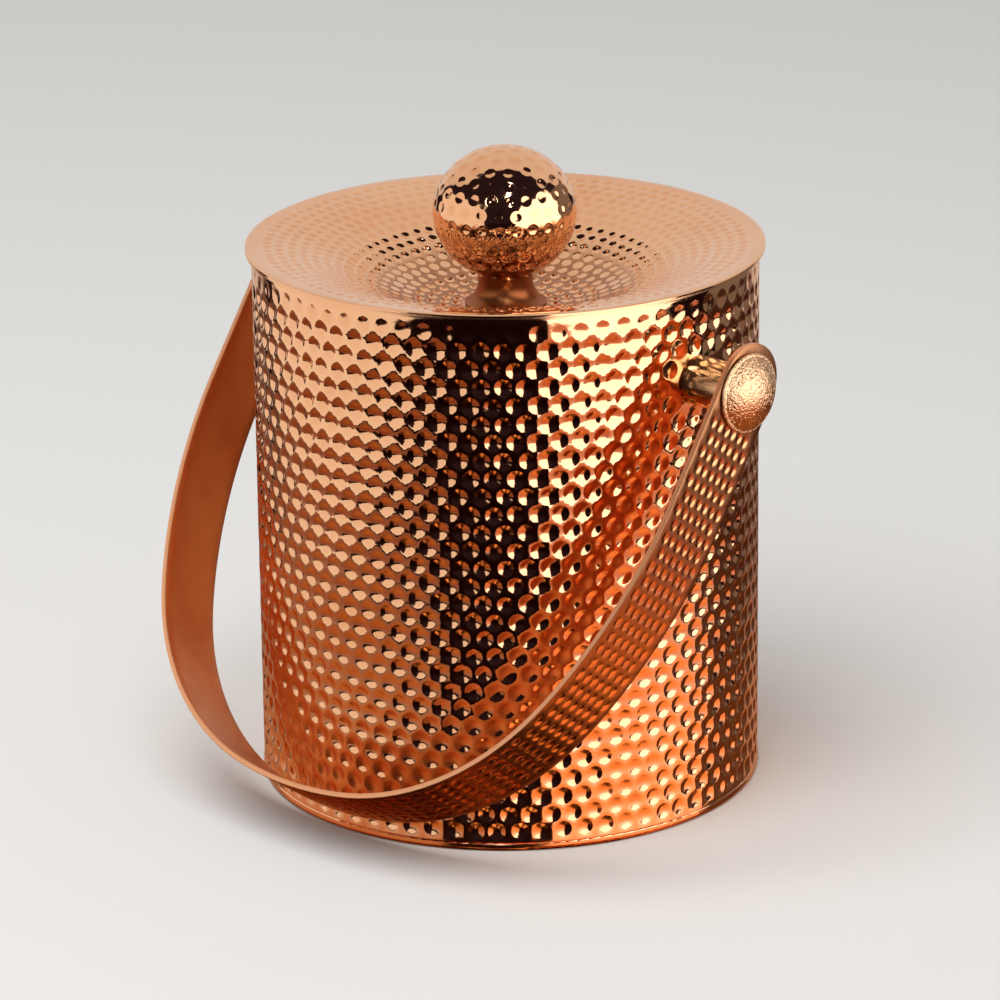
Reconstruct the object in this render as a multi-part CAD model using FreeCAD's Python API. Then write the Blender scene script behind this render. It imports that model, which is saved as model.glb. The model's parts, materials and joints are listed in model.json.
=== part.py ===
import FreeCAD, Part
import math
import os

# Ice bucket, millimetres. +Z up, +X along the handle's pivot axis, the handle hangs towards -Y.
# The origin is on the bucket's axis, on the plane that the foot ring stands on.

# Driving dimensions
BODY_R = 86.0            # outer radius of the hammered wall
BODY_TOP = 185.9         # top of the wall at its outer edge
SHELL_T = 1.0            # outer wall
LINER_R = 80.0           # outside of the liner's wall
LINER_T = 0.8
LINER_FLOOR = 9.8        # top face of the liner's floor
LINER_CORNER = 8.0       # inside corner of the liner
RIM_DROP = 0.7           # how far the rim falls towards the mouth
RIM_T = 0.8
RIM_LIP = 2.5            # how far the rim ring reaches into the air gap
FOOT_H = 3.0             # height of the rounded bead
FOOT_W = 3.4             # width of its section
FOOT_PROUD = 0.2         # how far the bead stands out from the wall
FOOT_TOP_BEND = 0.6      # rounding of the bead's upper edge
PLATE_T = 1.0            # base plate
PLATE_Z = 1.6            # underside of the base plate

LID_R = 88.0
LID_TOP = 187.65         # top of the lid's rim
LID_T = 0.7              # dish sheet, and the underside's sheet is LID_UNDER_T
LID_UNDER_T = 0.65
LID_EDGE = 0.8           # smooth edge outside the dish's shoulder
SHOULDER_SLOPE = 3.0     # slope of the dish at its rim, degrees
DISH_SLOPE = 32.0        # steepest slope of the dish
DISH_STEEP_R = 46.0      # radius where it is steepest
DISH_FLAT_R = 14.0       # radius where it levels out under the neck
COLLAR_R = 78.4          # outside of the collar that enters the mouth
COLLAR_CORNER = 3.0
LID_FLOOR = 158.0        # top face of the underside's floor

BALL_R = 24.4
BALL_H = 22.7            # half height of the ball, which is a little flattened
BALL_SIDE_R = 22.0       # radius of its side arc
BALL_T = 1.0
BALL_Z = 197.7           # height of the ball's centre
NECK_R = 9.7             # neck under the ball
NECK_WAIST_R = 8.6
NECK_FOOT_EDGE = 1.0     # height of the neck's foot at its edge
BOSS_R = 6.0
BOSS_H = 6.0
THREAD_R = 3.0           # studs of the knob and the pivots
KNOB_STUD_REACH = 4.0    # how far the stud enters the ball's boss

STRAP_W = 27.4
STRAP_T = 1.95
STRAP_REACH = 172.2      # pivot axis to the outer face of the strap's crown
STRAP_HALF = 107.0       # half the strap's width over its outer faces
CROWN_TURN = 9.0        # turn of the crown's flatter arc, degrees
CORNER_TURN = 55.2       # turn of the corner arc
CROWN_R = 143.0
CORNER_R = 90.0
PIVOT_Z = 155.7
TAB_OFFSET = 2.9         # centre of the strap's round end, beyond the pivot
REST_GAP = 0.45          # strap's edge to the wall where the handle hangs

SPACER_R = 8.4
SPACER_CHAMFER = 0.8
BUSH_FLANGE_R = 7.4
BUSH_FLANGE_T = 0.8
BUSH_R = 4.5
BUSH_END_GAP = 0.15      # the bush stops short of the strap's outer face
RUN_GAP = 0.05           # radial clearance of the stud in its bush
SIDE_GAP = 0.3           # end play between the strap's pieces and the fixed ones
CAP_R = 13.4
CAP_LIP_T = 1.1
CAP_DOME_R = 12.5        # radius of the dome where it leaves the lip
CAP_DOME_H = 5.9
CAP_THREAD = 3.6         # depth of the cap's threaded hole
BACKING_T = 1.2
BACKING_SIZE = 24.0
NUT_ACROSS = 10.0        # across flats
NUT_T = 3.0
STUD_END = 0.2           # stud beyond its nut
WASHER_R = 9.0
WASHER_T = 1.0

# Worked out from the driving dimensions
LINER_IN = LINER_R - LINER_T
GAP_OUT = BODY_R - SHELL_T
SHOULDER_START_R = LID_R - LID_EDGE
STRAP_IN = STRAP_HALF - STRAP_T
SIN0 = math.sin(math.radians(SHOULDER_SLOPE))
COS0 = math.cos(math.radians(SHOULDER_SLOPE))
SIN1 = math.sin(math.radians(DISH_SLOPE))
COS1 = math.cos(math.radians(DISH_SLOPE))
SHOULDER_R = (SHOULDER_START_R - DISH_STEEP_R) / (SIN1 - SIN0)
HOLLOW_R = (DISH_STEEP_R - DISH_FLAT_R) / SIN1
DISH_STEEP_Z = LID_TOP - SHOULDER_R * (COS0 - COS1)
DISH_Z = DISH_STEEP_Z - HOLLOW_R * (1 - COS1)      # top of the dish's flat centre


def hang_angle():
    """Degrees from straight down at which the strap's inner lower edge comes to the wall."""
    reach = STRAP_REACH - STRAP_T
    half = STRAP_W / 2
    size = math.hypot(reach, half)
    return math.degrees(math.asin((BODY_R + REST_GAP) / size) + math.atan2(half, reach))


def vec(x, y, z=0.0):
    return FreeCAD.Vector(x, y, z)


def at(r, z):
    """A point of a turned profile, in the XZ plane."""
    return FreeCAD.Vector(r, 0, z)


def line(a, b):
    return Part.LineSegment(a, b).toShape()


def arc(a, middle, b):
    return Part.Arc(a, middle, b).toShape()


def turned(edges):
    """Revolves a closed profile about the bucket's axis."""
    face = Part.Face(Part.Wire(edges))
    return face.revolve(vec(0, 0), vec(0, 0, 1), 360)


def turned_polygon(points):
    corners = [at(r, z) for r, z in points]
    return turned([line(a, b) for a, b in zip(corners, corners[1:] + corners[:1])])


def tube(r_out, r_in, z0, z1):
    return turned_polygon([(r_in, z0), (r_out, z0), (r_out, z1), (r_in, z1)])


def rod_z(r, z0, z1):
    return Part.makeCylinder(r, z1 - z0, vec(0, 0, z0))


def rod_x(r, x0, x1):
    """A cylinder on the pivot axis, on the +X side."""
    return Part.makeCylinder(r, x1 - x0, vec(x0, 0, PIVOT_Z), vec(1, 0, 0))


def hexagon(across, thickness, base, axis):
    """A hexagonal prism that stands on base along axis."""
    radius = across / math.sqrt(3)
    corners = []
    for k in range(6):
        turn = math.radians(60 * k)
        corners.append(vec(radius * math.cos(turn), radius * math.sin(turn)))
    prism = Part.Face(Part.makePolygon(corners + corners[:1])).extrude(vec(0, 0, thickness))
    prism.Placement = FreeCAD.Placement(base, FreeCAD.Rotation(vec(0, 0, 1), axis))
    return prism


def outer_shell():
    wall = tube(BODY_R, GAP_OUT, FOOT_H, BODY_TOP - RIM_T)
    for side in (1, -1):
        wall = wall.cut(on_side(rod_x(THREAD_R, GAP_OUT - SHELL_T, BODY_R + SHELL_T), side))
    return wall


def inner_liner():
    top = BODY_TOP - RIM_DROP - RIM_T
    bend = LINER_CORNER
    outer_bend = bend + LINER_T
    low = LINER_FLOOR - LINER_T
    slant = math.sqrt(0.5)
    centre_r = LINER_IN - bend
    centre_z = LINER_FLOOR + bend
    inner_mid = at(centre_r + bend * slant, centre_z - bend * slant)
    outer_mid = at(centre_r + outer_bend * slant, centre_z - outer_bend * slant)
    return turned([
        line(at(0, low), at(centre_r, low)),
        arc(at(centre_r, low), outer_mid, at(LINER_R, centre_z)),
        line(at(LINER_R, centre_z), at(LINER_R, top)),
        line(at(LINER_R, top), at(LINER_IN, top)),
        line(at(LINER_IN, top), at(LINER_IN, centre_z)),
        arc(at(LINER_IN, centre_z), inner_mid, at(centre_r, LINER_FLOOR)),
        line(at(centre_r, LINER_FLOOR), at(0, LINER_FLOOR)),
        line(at(0, LINER_FLOOR), at(0, low)),
    ])


def rim_ring():
    """Sloping ring that sits on both walls, with a lip between them."""
    shell_top = BODY_TOP - RIM_T
    liner_top = shell_top - RIM_DROP
    lip = liner_top - RIM_LIP
    return turned_polygon([
        (LINER_IN, liner_top), (LINER_R, liner_top), (LINER_R, lip), (GAP_OUT, lip),
        (GAP_OUT, shell_top), (BODY_R, shell_top), (BODY_R, BODY_TOP), (LINER_IN, BODY_TOP - RIM_DROP),
    ])


def foot_ring():
    """Rounded bead with a flat underside."""
    outer = BODY_R + FOOT_PROUD
    inner = outer - FOOT_W
    low = FOOT_H / 2
    top = FOOT_TOP_BEND
    slant = 1 - math.sqrt(0.5)
    return turned([
        line(at(inner, 0), at(outer - low, 0)),
        arc(at(outer - low, 0), at(outer - low * slant, low * slant), at(outer, low)),
        line(at(outer, low), at(outer, FOOT_H - top)),
        arc(at(outer, FOOT_H - top),
            at(outer - top * slant, FOOT_H - top * slant),
            at(outer - top, FOOT_H)),
        line(at(outer - top, FOOT_H), at(inner, FOOT_H)),
        line(at(inner, FOOT_H), at(inner, 0)),
    ])


def base_plate():
    return rod_z(BODY_R + FOOT_PROUD - FOOT_W, PLATE_Z, PLATE_Z + PLATE_T)


def on_side(shape, side):
    """Leaves a +X shape as it is for side 1, and mirrors it for side -1."""
    if side > 0:
        return shape
    return shape.mirror(vec(0, 0), vec(1, 0, 0))


def spacer():
    """Round stand-off with both ends chamfered, seated on the curved wall."""
    end = STRAP_IN - BUSH_FLANGE_T - SIDE_GAP
    rod = rod_x(SPACER_R, BODY_R, end)
    rims = [edge for edge in rod.Edges if edge.Curve.TypeId == "Part::GeomCircle"]
    rod = rod.makeChamfer(SPACER_CHAMFER, rims)
    rod = rod.fuse(rod_x(SPACER_R - SPACER_CHAMFER, GAP_OUT, end))
    rod = rod.cut(rod_z(BODY_R, 0, BODY_TOP)).removeSplitter()
    return rod.cut(rod_x(THREAD_R, GAP_OUT - SHELL_T, end + SHELL_T))


def nut_start():
    return GAP_OUT - BACKING_T - NUT_T


def pivot_nut():
    nut = hexagon(NUT_ACROSS, NUT_T, vec(nut_start(), 0, PIVOT_Z), vec(1, 0, 0))
    return nut.cut(rod_x(THREAD_R, nut_start() - NUT_T, GAP_OUT))


def backing_plate():
    """Curved to the wall, with a flat seat for the nut."""
    ring = tube(GAP_OUT, GAP_OUT - BACKING_T, PIVOT_Z - BACKING_SIZE / 2, PIVOT_Z + BACKING_SIZE / 2)
    block_corner = vec(0, -BACKING_SIZE / 2, PIVOT_Z - BACKING_SIZE / 2)
    block = Part.makeBox(BODY_R, BACKING_SIZE, BACKING_SIZE, block_corner)
    plate = ring.common(block)
    plate = plate.cut(rod_x(THREAD_R, nut_start(), BODY_R))
    return plate.cut(hexagon(NUT_ACROSS, NUT_T, vec(nut_start(), 0, PIVOT_Z), vec(1, 0, 0)))


def cap_start():
    return STRAP_HALF + SIDE_GAP


def cap():
    """Lip ring and dome, with a blind threaded hole for the stud."""
    lip_end = cap_start() + CAP_LIP_T
    lip = rod_x(CAP_R, cap_start(), lip_end)
    ball_r = (CAP_DOME_R ** 2 + CAP_DOME_H ** 2) / (2 * CAP_DOME_H)
    ball = Part.makeSphere(ball_r, vec(lip_end + CAP_DOME_H - ball_r, 0, PIVOT_Z))
    dome = ball.common(rod_x(CAP_R, lip_end, lip_end + CAP_DOME_H + SIDE_GAP))
    hole = rod_x(THREAD_R, cap_start() - SIDE_GAP, cap_start() + CAP_THREAD)
    return lip.fuse(dome).removeSplitter().cut(hole)


def pivot_stud():
    return rod_x(THREAD_R, nut_start() - STUD_END, cap_start() + CAP_THREAD)


def bush():
    """Sleeve in the strap with a shoulder on the spacer's side."""
    flange = rod_x(BUSH_FLANGE_R, STRAP_IN - BUSH_FLANGE_T, STRAP_IN)
    sleeve = rod_x(BUSH_R, STRAP_IN - BUSH_FLANGE_T, STRAP_HALF - BUSH_END_GAP)
    return flange.fuse(sleeve).cut(rod_x(THREAD_R + RUN_GAP, GAP_OUT, STRAP_HALF + SIDE_GAP))


def strap_edges(inset):
    """Right half of the strap's outline, from the end of the leg to the crown, hanging straight down."""
    crown = math.radians(CROWN_TURN)
    corner = math.radians(CROWN_TURN + CORNER_TURN)
    crown_z = PIVOT_Z - STRAP_REACH + CROWN_R
    corner_x = (CROWN_R - CORNER_R) * math.sin(crown)
    corner_z = crown_z - (CROWN_R - CORNER_R) * math.cos(crown)
    leg_r = (STRAP_HALF - corner_x - CORNER_R * math.sin(corner)) / (1 - math.sin(corner))
    leg_x = STRAP_HALF - leg_r
    leg_z = corner_z + (leg_r - CORNER_R) * math.cos(corner)

    def on_arc(x, z, radius, turn):
        return at(x + (radius - inset) * math.sin(turn), z - (radius - inset) * math.cos(turn))

    bottom = at(0, PIVOT_Z - STRAP_REACH + inset)
    crown_end = on_arc(0, crown_z, CROWN_R, crown)
    corner_end = on_arc(corner_x, corner_z, CORNER_R, corner)
    leg_start = at(STRAP_HALF - inset, leg_z)
    leg_end = at(STRAP_HALF - inset, PIVOT_Z + TAB_OFFSET + STRAP_W / 2)
    edges = [
        line(leg_end, leg_start),
        arc(leg_start, on_arc(leg_x, leg_z, leg_r, (corner + math.pi / 2) / 2), corner_end),
        arc(corner_end, on_arc(corner_x, corner_z, CORNER_R, (crown + corner) / 2), crown_end),
        arc(crown_end, on_arc(0, crown_z, CROWN_R, crown / 2), bottom),
    ]
    return edges, leg_end, bottom


def handle_strap():
    outer, outer_end, outer_bottom = strap_edges(0)
    inner, inner_end, inner_bottom = strap_edges(STRAP_T)
    bottom = line(outer_bottom, inner_bottom)
    end = line(inner_end, outer_end)
    profile = Part.Wire(outer + [bottom] + inner[::-1] + [end])
    half = Part.Face(profile).extrude(vec(0, STRAP_W, 0))
    half.translate(vec(0, -STRAP_W / 2, 0))
    tab_z = PIVOT_Z + TAB_OFFSET
    corner = Part.makeBox(STRAP_T * 3, STRAP_W * 2, STRAP_W, vec(STRAP_IN - STRAP_T, -STRAP_W, tab_z))
    tab = Part.makeCylinder(STRAP_W / 2, STRAP_T * 3, vec(STRAP_IN - STRAP_T, 0, tab_z), vec(1, 0, 0))
    half = half.cut(corner.cut(tab)).cut(rod_x(BUSH_R, GAP_OUT, STRAP_HALF + STRAP_T))
    return half.fuse(on_side(half, -1)).removeSplitter()


def hung(shape):
    """Swings a piece of the handle from straight down to where it hangs, towards -Y."""
    swung = shape.copy()
    swung.rotate(vec(0, 0, PIVOT_Z), vec(1, 0, 0), -hang_angle())
    return swung


def dish_edges(inset):
    """The dish's surface, from its rim to its flat centre, offset down by inset."""
    shoulder_z = LID_TOP - SHOULDER_R * COS0
    shoulder_x = SHOULDER_START_R + SHOULDER_R * SIN0
    hollow_x = DISH_FLAT_R
    hollow_z = DISH_Z + HOLLOW_R
    slopes = [math.radians(a) for a in (SHOULDER_SLOPE, (SHOULDER_SLOPE + DISH_SLOPE) / 2, DISH_SLOPE)]
    radius = SHOULDER_R - inset
    rim, shoulder, steep = [at(shoulder_x - radius * math.sin(a), shoulder_z + radius * math.cos(a))
                            for a in slopes]
    radius = HOLLOW_R + inset
    half = math.radians(DISH_SLOPE / 2)
    hollow = at(hollow_x + radius * math.sin(half), hollow_z - radius * math.cos(half))
    centre = at(hollow_x, hollow_z - radius)
    return [arc(rim, shoulder, steep), arc(steep, hollow, centre)], rim, centre


def lid_dish():
    top, top_rim, top_centre = dish_edges(0)
    low, low_rim, low_centre = dish_edges(LID_T)
    edge_top = at(LID_R, LID_TOP - LID_T / 2)
    edge_low = at(LID_R, LID_TOP - LID_T)
    axis_low = at(THREAD_R, low_centre.z)
    axis_top = at(THREAD_R, top_centre.z)
    hole = [line(top_centre, axis_top), line(axis_top, axis_low), line(axis_low, low_centre)]
    edge = [line(low_rim, edge_low), line(edge_low, edge_top)]
    return turned([line(edge_top, top_rim)] + top + hole + low[::-1] + edge)


def surface_z(r, inset):
    """Height of the dish's shoulder at radius r, offset down by inset."""
    radius = SHOULDER_R - inset
    run = SHOULDER_START_R + SHOULDER_R * SIN0 - r
    return LID_TOP - SHOULDER_R * COS0 + math.sqrt(radius ** 2 - run ** 2)


def lid_underside():
    """Flange under the dish's shoulder, a collar that enters the mouth, and a flat floor."""
    low = LID_T + LID_UNDER_T
    inner = COLLAR_R - LID_UNDER_T
    bend = COLLAR_CORNER
    slant = math.sqrt(0.5)
    floor = LID_FLOOR - LID_UNDER_T
    centre_r = inner - bend
    centre_z = LID_FLOOR + bend
    outer_bend = bend + LID_UNDER_T
    edge_low = at(LID_R, LID_TOP - low)
    edge_top = at(LID_R, LID_TOP - LID_T)
    flange_low = at(SHOULDER_START_R, surface_z(SHOULDER_START_R, low))
    flange_top = at(SHOULDER_START_R, surface_z(SHOULDER_START_R, LID_T))
    middle = (SHOULDER_START_R + COLLAR_R) / 2
    collar_low = at(COLLAR_R, surface_z(COLLAR_R, low))
    collar_top = at(inner, surface_z(inner, LID_T))
    return turned([
        line(edge_low, edge_top),
        line(edge_top, flange_top),
        arc(flange_top, at(middle, surface_z(middle, LID_T)), collar_top),
        line(collar_top, at(inner, centre_z)),
        arc(at(inner, centre_z),
            at(centre_r + bend * slant, centre_z - bend * slant),
            at(centre_r, LID_FLOOR)),
        line(at(centre_r, LID_FLOOR), at(0, LID_FLOOR)),
        line(at(0, LID_FLOOR), at(0, floor)),
        line(at(0, floor), at(centre_r, floor)),
        arc(at(centre_r, floor), at(centre_r + outer_bend * slant, centre_z - outer_bend * slant),
            at(COLLAR_R, centre_z)),
        line(at(COLLAR_R, centre_z), collar_low),
        arc(collar_low, at(middle, surface_z(middle, low)), flange_low),
        line(flange_low, edge_low),
    ])


def ball_solid(inset):
    """The knob's ball, its surface sunk by inset: a side arc between two flatter crown arcs."""
    side_r = BALL_SIDE_R - inset
    side_x = BALL_R - BALL_SIDE_R
    crown_drop = (side_x ** 2 - (BALL_H - BALL_SIDE_R) ** 2) / (2 * (BALL_H - BALL_SIDE_R))
    crown_r = crown_drop + BALL_H - inset
    joint = math.atan2(side_x, crown_drop)
    joint_r = crown_r * math.sin(joint)
    joint_h = crown_r * math.cos(joint) - crown_drop
    middle_r = crown_r * math.sin(joint / 2)
    middle_h = crown_r * math.cos(joint / 2) - crown_drop
    top_h = BALL_H - inset
    return turned([
        arc(at(0, BALL_Z - top_h), at(middle_r, BALL_Z - middle_h), at(joint_r, BALL_Z - joint_h)),
        arc(at(joint_r, BALL_Z - joint_h), at(side_x + side_r, BALL_Z), at(joint_r, BALL_Z + joint_h)),
        arc(at(joint_r, BALL_Z + joint_h), at(middle_r, BALL_Z + middle_h), at(0, BALL_Z + top_h)),
        line(at(0, BALL_Z + top_h), at(0, BALL_Z - top_h)),
    ])


def ball_shell():
    shell = ball_solid(0).cut(ball_solid(BALL_T))
    return shell.cut(rod_z(THREAD_R, BALL_Z - 2 * BALL_H, BALL_Z - BALL_H / 2))


def knob_upper():
    block = Part.makeBox(4 * BALL_R, 4 * BALL_R, 2 * BALL_R, vec(-2 * BALL_R, -2 * BALL_R, BALL_Z))
    return ball_shell().common(block)


def knob_lower():
    block_corner = vec(-2 * BALL_R, -2 * BALL_R, BALL_Z - 2 * BALL_R)
    block = Part.makeBox(4 * BALL_R, 4 * BALL_R, 2 * BALL_R, block_corner)
    return ball_shell().common(block)


def ball_floor():
    return BALL_Z - BALL_H + BALL_T


def knob_boss():
    boss = rod_z(BOSS_R, ball_floor() - BALL_T, ball_floor() + BOSS_H)
    boss = boss.common(ball_solid(BALL_T))
    return boss.cut(rod_z(THREAD_R, ball_floor() - BALL_T, ball_floor() + KNOB_STUD_REACH))


def knob_neck():
    """Flared foot on the dish's flat, a waist, and a top that fits the ball."""
    top = BALL_Z - BALL_H * math.sqrt(1 - (NECK_R / BALL_R) ** 2)
    foot = DISH_Z + NECK_FOOT_EDGE
    waist_z = (foot + top) / 2 + NECK_FOOT_EDGE
    neck = turned([
        line(at(THREAD_R, DISH_Z), at(DISH_FLAT_R, DISH_Z)),
        line(at(DISH_FLAT_R, DISH_Z), at(DISH_FLAT_R, foot)),
        arc(at(DISH_FLAT_R, foot),
            at(NECK_WAIST_R + NECK_FOOT_EDGE, waist_z - NECK_FOOT_EDGE),
            at(NECK_R, top)),
        line(at(NECK_R, top), at(THREAD_R, top)),
        line(at(THREAD_R, top), at(THREAD_R, DISH_Z)),
    ])
    return neck.cut(ball_solid(0))


def knob_nut_top():
    return DISH_Z - LID_T - WASHER_T


def knob_stud():
    return rod_z(THREAD_R, knob_nut_top() - NUT_T - STUD_END, ball_floor() + KNOB_STUD_REACH)


def knob_washer():
    return tube(WASHER_R, THREAD_R, knob_nut_top(), DISH_Z - LID_T)


def knob_nut():
    nut = hexagon(NUT_ACROSS, NUT_T, vec(0, 0, knob_nut_top() - NUT_T), vec(0, 0, 1))
    return nut.cut(rod_z(THREAD_R, 0, BODY_TOP))


def all_nodes():
    nodes = {
        "outer_shell": outer_shell(),
        "inner_liner": inner_liner(),
        "rim_ring": rim_ring(),
        "foot_ring": foot_ring(),
        "base_plate": base_plate(),
        "handle_strap": hung(handle_strap()),
        "lid_dish": lid_dish(),
        "lid_underside": lid_underside(),
        "knob_upper": knob_upper(),
        "knob_lower": knob_lower(),
        "knob_boss": knob_boss(),
        "knob_neck": knob_neck(),
        "knob_stud": knob_stud(),
        "knob_washer": knob_washer(),
        "knob_nut": knob_nut(),
    }
    pivot_pieces = {
        "spacer": spacer(),
        "nut": pivot_nut(),
        "backing_plate": backing_plate(),
        "cap": cap(),
        "stud": pivot_stud(),
    }
    for side, word in ((1, "right"), (-1, "left")):
        for name, shape in pivot_pieces.items():
            nodes[f"{name}_{word}"] = on_side(shape, side)
        nodes[f"bush_{word}"] = hung(on_side(bush(), side))
    return nodes


def main():
    os.makedirs("parts", exist_ok=True)
    print("hang angle", round(hang_angle(), 3), "dish floor", round(DISH_Z, 3))
    for name, shape in all_nodes().items():
        print(name, "valid", shape.isValid(), "solids", len(shape.Solids), "volume", round(shape.Volume, 1))
        shape.exportStep(f"parts/{name}.step")


main()
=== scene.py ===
import json
import math
import random

import bmesh
import bpy
from bpy.props import FloatProperty, FloatVectorProperty, PointerProperty
from bpy.types import Operator, Panel, PropertyGroup
from mathutils import Matrix, Quaternion, Vector, noise


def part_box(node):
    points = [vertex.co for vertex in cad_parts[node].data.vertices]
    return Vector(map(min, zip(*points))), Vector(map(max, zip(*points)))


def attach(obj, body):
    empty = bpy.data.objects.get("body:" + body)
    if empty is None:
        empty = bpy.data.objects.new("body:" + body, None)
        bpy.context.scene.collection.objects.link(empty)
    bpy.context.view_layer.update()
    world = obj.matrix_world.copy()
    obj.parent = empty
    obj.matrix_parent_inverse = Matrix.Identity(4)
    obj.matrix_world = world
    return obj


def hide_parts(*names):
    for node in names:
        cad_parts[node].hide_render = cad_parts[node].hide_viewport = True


bl_info = {
    "name": "Hammered Ice Bucket",
    "version": (1, 0, 0),
    "blender": (4, 5, 0),
    "location": "View3D > Sidebar > Ice Bucket",
    "description": "Makes the hammered copper pieces of an ice bucket around its CAD frame, and a stage",
    "category": "Add Mesh",
}

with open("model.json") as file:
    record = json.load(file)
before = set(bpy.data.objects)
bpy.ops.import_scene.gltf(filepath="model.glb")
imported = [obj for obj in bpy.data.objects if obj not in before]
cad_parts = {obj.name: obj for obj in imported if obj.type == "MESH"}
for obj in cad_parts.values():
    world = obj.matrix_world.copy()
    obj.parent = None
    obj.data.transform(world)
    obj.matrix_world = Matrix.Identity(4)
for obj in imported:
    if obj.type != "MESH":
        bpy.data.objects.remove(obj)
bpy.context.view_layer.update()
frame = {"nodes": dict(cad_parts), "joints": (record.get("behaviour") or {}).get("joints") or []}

MM = 0.001
HALF_TURN = math.pi
AXIS_Z = Vector((0, 0, 1))

# Places read from the frame
WALL_LOW, WALL_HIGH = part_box("outer_shell")
WALL_R = WALL_HIGH.x
LID_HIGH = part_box("lid_dish")[1]
LID_R = LID_HIGH.x
BALL_WIDEST, BALL_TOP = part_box("knob_upper")
BALL_R = BALL_TOP.x
NECK_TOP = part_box("knob_neck")[1].z
CAP_LOW, CAP_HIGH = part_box("cap_right")
CAP_R = CAP_HIGH.y
SPACER_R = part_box("spacer_right")[1].y
HINGE = next(joint for joint in frame["joints"] if joint["type"] == "hinge")
PIVOT = Vector(HINGE["pos_m"])
HANG = math.radians((360 - HINGE["range_deg"][1]) / 2)

# Sheet thicknesses and the runs of the strap and of the dish, as in the CAD model
WALL_T = 1.0 * MM
LID_T = 0.7 * MM
LID_EDGE = 0.8 * MM
SHOULDER_SLOPE = math.radians(3)
DISH_SLOPE = math.radians(32)
DISH_STEEP_R = 46 * MM
DISH_FLAT_R = 14 * MM
STUD_R = 3 * MM
STRAP_W = 27.4 * MM
STRAP_T = 1.95 * MM
STRAP_HALF = 107 * MM
STRAP_REACH = 172.2 * MM
CROWN_R = 143 * MM
CROWN_TURN = math.radians(9)
CORNER_R = 90 * MM
CORNER_TURN = math.radians(55.2)
TAB_OFFSET = 2.9 * MM
CAP_LIP_T = 1.1 * MM
CAP_DOME_R = 12.5 * MM


def length(name, description, default):
    return FloatProperty(name=name, description=description, default=default * MM, min=0.0,
                         unit="LENGTH", subtype="DISTANCE", precision=5)


def colour(name, description, default):
    return FloatVectorProperty(name=name, description=description, default=default, size=3,
                               min=0.0, max=1.0, subtype="COLOR")


def angle(name, description, default):
    return FloatProperty(name=name, description=description, default=math.radians(default),
                         unit="ROTATION", subtype="ANGLE")


class BucketSizes(PropertyGroup):
    wall_pitch: length("Wall pitch", "Distance between the wall's bowls, round the bucket", 7.4)
    wall_row: length("Wall rows", "Height between the wall's rows of bowls", 6.24)
    wall_bowl: length("Wall bowl", "Radius of the wall's bowls before they grow towards each other", 2.85)
    wall_depth: length("Wall depth", "Depth of the wall's bowls", 0.84)
    lid_pitch: length("Lid pitch", "Distance between the lid's bowls", 4.9)
    lid_bowl: length("Lid bowl", "Radius of the lid's bowls before they grow", 1.65)
    lid_depth: length("Lid depth", "Depth of the lid's outer bowls", 0.34)
    lid_inner_depth: length("Lid inner depth", "Depth of the lid's bowls towards its middle", 0.85)
    ball_pitch: length("Ball pitch", "Distance between the knob's bowls", 6.0)
    ball_bowl: length("Ball bowl", "Radius of the knob's bowls before they grow", 1.8)
    ball_depth: length("Ball depth", "Depth of the knob's bowls", 0.42)
    strap_pitch: length("Strap pitch", "Distance between the strap's bowls, across it", 3.8)
    strap_row: length("Strap rows", "Distance between the strap's rows of bowls, along it", 5.2)
    strap_bowl: length("Strap bowl", "Radius of the strap's bowls before they grow", 1.45)
    strap_depth: length("Strap depth", "Depth of the strap's bowls", 0.36)
    cap_crinkle: length("Cap crinkle", "Height of the crinkles on the pivot caps", 0.30)


class BucketColours(PropertyGroup):
    copper: colour("Copper", "Polished copper of the bucket and lid", (0.95, 0.52, 0.29))
    # Deep copper is also the colour of the painted reflection under the knob's ball, at 0.8 strength.
    copper_deep: colour("Deep copper", "Copper where it has toned", (0.84, 0.36, 0.16))
    # Painted reflection: the neck's dark brown stands in for the dark reflection it shows under the ball.
    neck: colour("Neck copper", "Darkened copper of the knob's neck", (0.32, 0.10, 0.035))
    # Painted reflection: the hollow colour darkens the lands in the lid's hollow, standing in for the dark
    # reflection there; it is not a toning of the copper.
    hollow: colour("Hollow copper", "Toned copper between the bowls in the lid's hollow", (0.36, 0.13, 0.05))
    strap: colour("Strap copper", "Satin copper of the handle's strap", (0.84, 0.36, 0.15))
    strap_deep: colour("Deep strap copper", "Strap copper where it has toned", (0.62, 0.18, 0.05))
    cap: colour("Cap copper", "Pale copper of the pivot caps", (0.98, 0.66, 0.40))
    spacer: colour("Spacer metal", "Polished brass of the spacers", (0.93, 0.74, 0.48))
    steel: colour("Steel", "Brushed steel of the liner and the fasteners", (0.78, 0.76, 0.73))
    plastic: colour("Bush plastic", "Plastic of the pivot bushes", (0.78, 0.74, 0.66))


class StageSettings(PropertyGroup):
    azimuth: angle("Azimuth", "Camera's direction round the bucket", 42.8)
    elevation: angle("Elevation", "Camera's height above the horizon", 18.84)
    roll: angle("Roll", "Camera's roll", -0.692)
    distance: length("Distance", "Camera to the point it aims at", 1855.86)
    lens: FloatProperty(name="Lens", description="Focal length", default=194.4, min=1.0, unit="CAMERA")
    floor: colour("Floor", "Pale floor", (0.80, 0.79, 0.77))
    surround: colour("Surround", "Pale space beyond the floor", (0.80, 0.79, 0.77))
    ambient: colour("Ambient", "Soft light from all round", (0.34, 0.34, 0.34))
    dark: colour("Dark", "What reflections see past the cards", (0.020, 0.012, 0.018))
    table_near: colour("Table near", "Copper tone of the reflected table top", (0.56, 0.21, 0.06))
    table_far: colour("Table far", "The same further out", (0.25, 0.065, 0.016))
    table_behind: colour("Table behind", "The same behind the bucket", (0.16, 0.055, 0.025))
    table_end: colour("Table end", "Pale tone far behind the bucket", (0.86, 0.74, 0.62))


# Shader maths as Python expressions

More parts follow.
